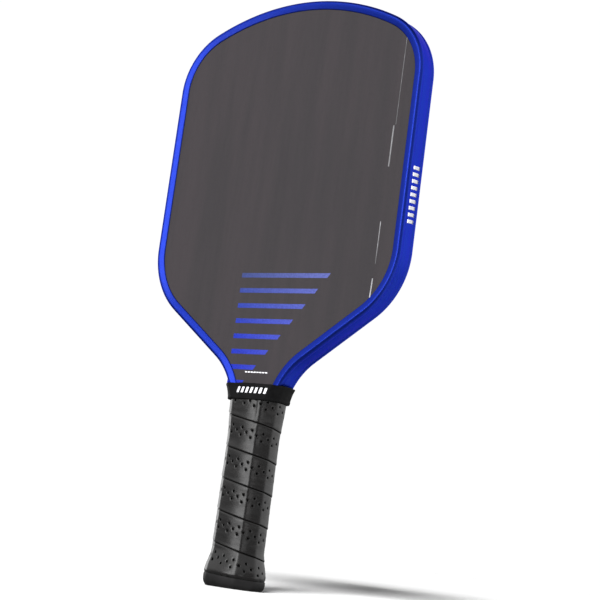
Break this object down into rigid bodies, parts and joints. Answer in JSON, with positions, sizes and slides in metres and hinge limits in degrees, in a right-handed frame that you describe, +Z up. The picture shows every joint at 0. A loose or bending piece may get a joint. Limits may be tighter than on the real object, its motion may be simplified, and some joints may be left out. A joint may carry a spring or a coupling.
{
  "type": "pickleball paddle",
  "caption": "Pickleball paddle of standard width with carbon faces, honeycomb core, blue edge guard, octagonal wrapped handle and rubber collar.",
  "frame": {"origin": "centre of the flat butt end of the handle, on the surface that the paddle stands on", "axes": "+Z up the handle to the crown of the blade, +X across the blade, front hitting face towards -Y"},
  "size_m": [0.2032, 0.0316, 0.4064],
  "materials": {
    "honeycomb": "translucent white polypropylene",
    "foam": "rigid polyurethane foam",
    "glass_ply": "cured glass fibre ply",
    "carbon_face": "matte raw carbon fibre with a fine peel-ply texture",
    "edge_guard": "glossy metallic royal blue",
    "butt_cap": "satin black moulded plastic",
    "badge": "plain dark grey disc with no mark",
    "staple": "drawn steel wire",
    "grip": "perforated black polyurethane cushion tape, satin",
    "tape": "black finishing tape",
    "collar": "black rubber band with a plain dash pattern"
  },
  "bodies": {
    "root": {"honeycomb_core": "honeycomb", "perimeter_foam": "foam", "front_inner_ply": "glass_ply", "rear_inner_ply": "glass_ply", "front_carbon_face": "carbon_face", "rear_carbon_face": "carbon_face", "edge_guard": "edge_guard", "front_handle_shell": "foam", "rear_handle_shell": "foam", "butt_cap": "butt_cap", "butt_badge": "badge", "cap_staple_front_left": "staple", "cap_staple_front_right": "staple", "cap_staple_rear_left": "staple", "cap_staple_rear_right": "staple", "grip_wrap": "grip", "grip_end_tape": "tape", "grip_collar": "collar"}
  },
  "joints": []
}
